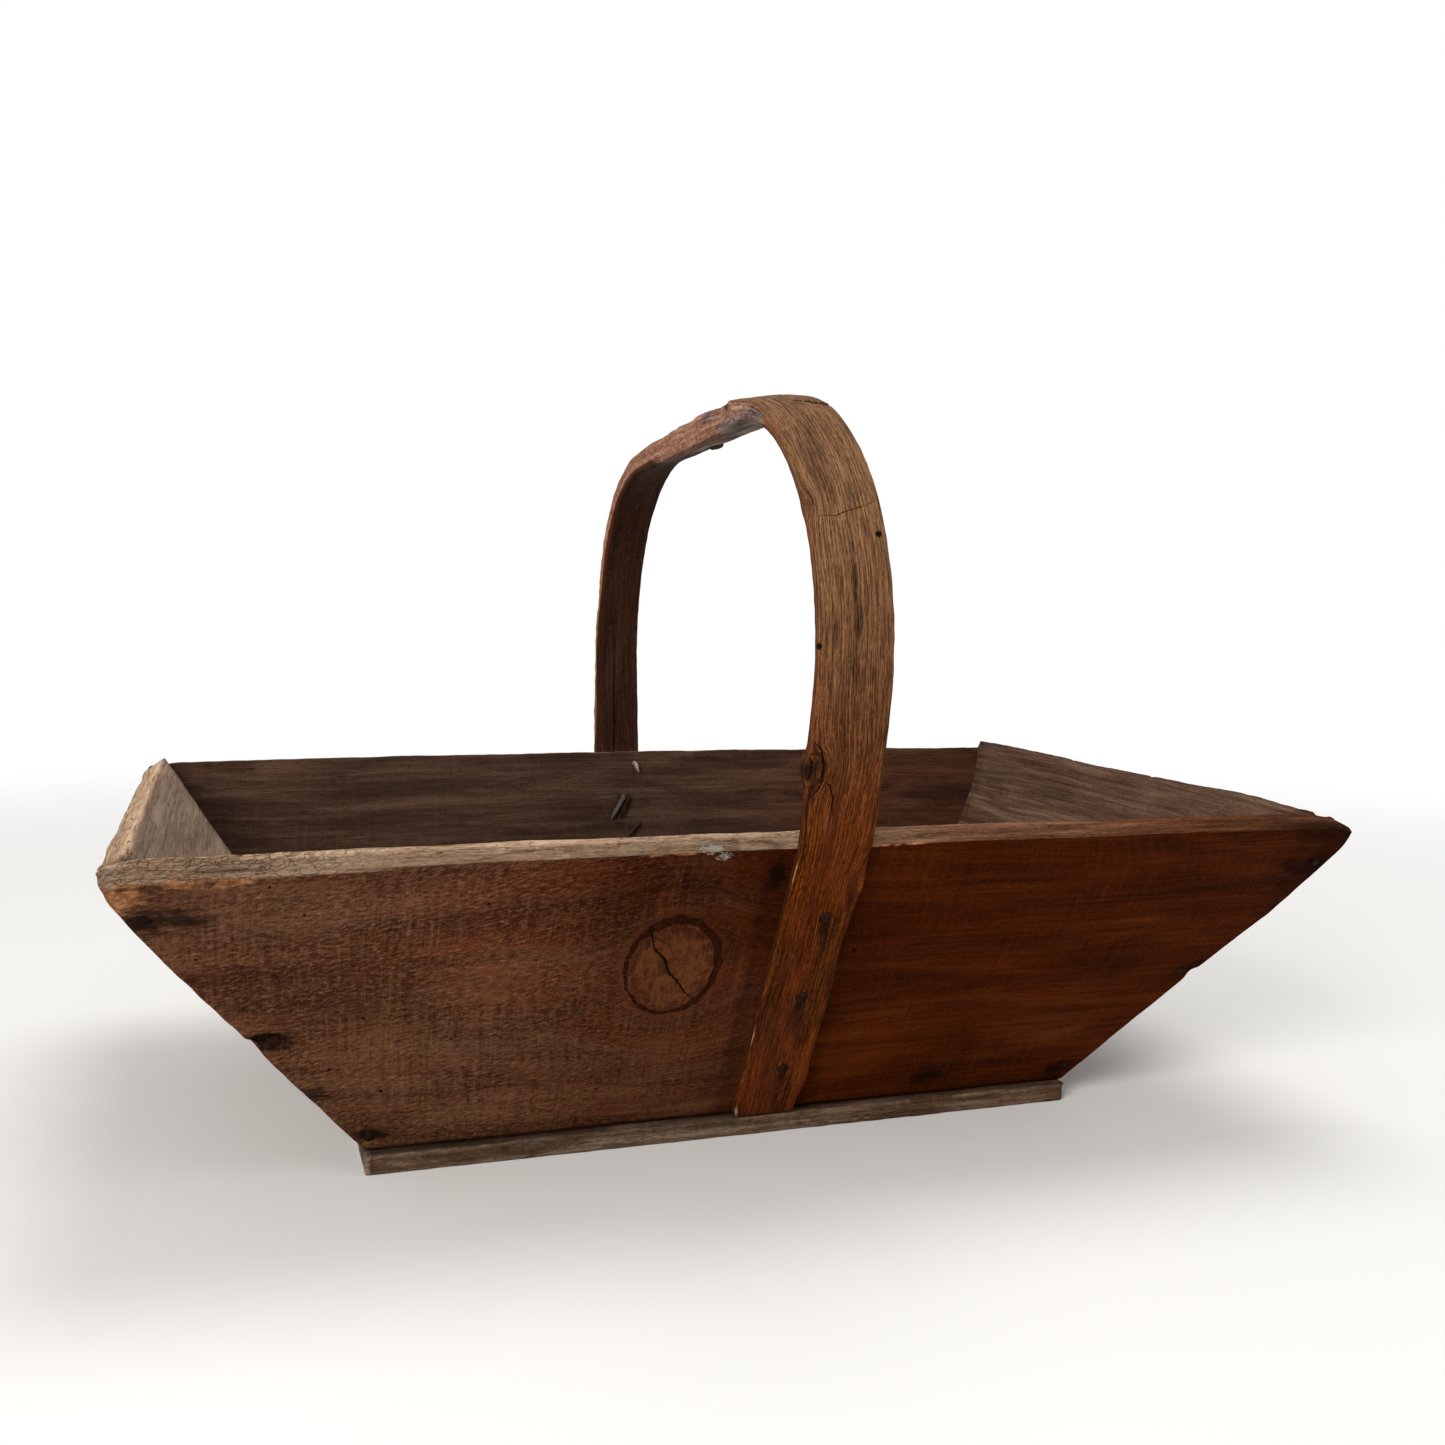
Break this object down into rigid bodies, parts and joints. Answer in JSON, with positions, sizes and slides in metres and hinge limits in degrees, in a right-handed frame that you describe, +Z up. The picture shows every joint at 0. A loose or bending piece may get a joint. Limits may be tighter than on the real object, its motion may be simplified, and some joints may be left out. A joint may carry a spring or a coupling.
{
  "type": "garden trug",
  "caption": "Old wooden garden trug: leaning board sides and ends nailed over a flat base board, with one bent split-wood strap as its carrying handle.",
  "frame": {"origin": "middle of the base board's underside, on the ground", "axes": "+X along the trug towards its right end, +Y from the front side to the back side, +Z up"},
  "size_m": [0.5022, 0.3506, 0.3115],
  "materials": {
    "side_wood": "worn sawn softwood, dark red-brown, grey along the rim",
    "end_wood": "worn sawn softwood, grey-brown",
    "base_wood": "weathered grey-brown board",
    "handle_wood": "split, hand-worn tan wood, bark edge over the far half",
    "nail_iron": "dark rusted iron"
  },
  "bodies": {
    "root": {"front_side": "side_wood", "back_side": "side_wood", "left_end": "end_wood", "right_end": "end_wood", "base_board": "base_wood", "handle": "handle_wood", "front_handle_nails": "nail_iron", "back_handle_nails": "nail_iron", "back_rim_nail": "nail_iron", "front_left_corner_nails": "nail_iron", "front_right_corner_nails": "nail_iron", "back_left_corner_nails": "nail_iron", "back_right_corner_nails": "nail_iron", "base_front_nails": "nail_iron", "base_back_nails": "nail_iron", "base_left_nails": "nail_iron", "base_right_nails": "nail_iron"}
  },
  "joints": []
}
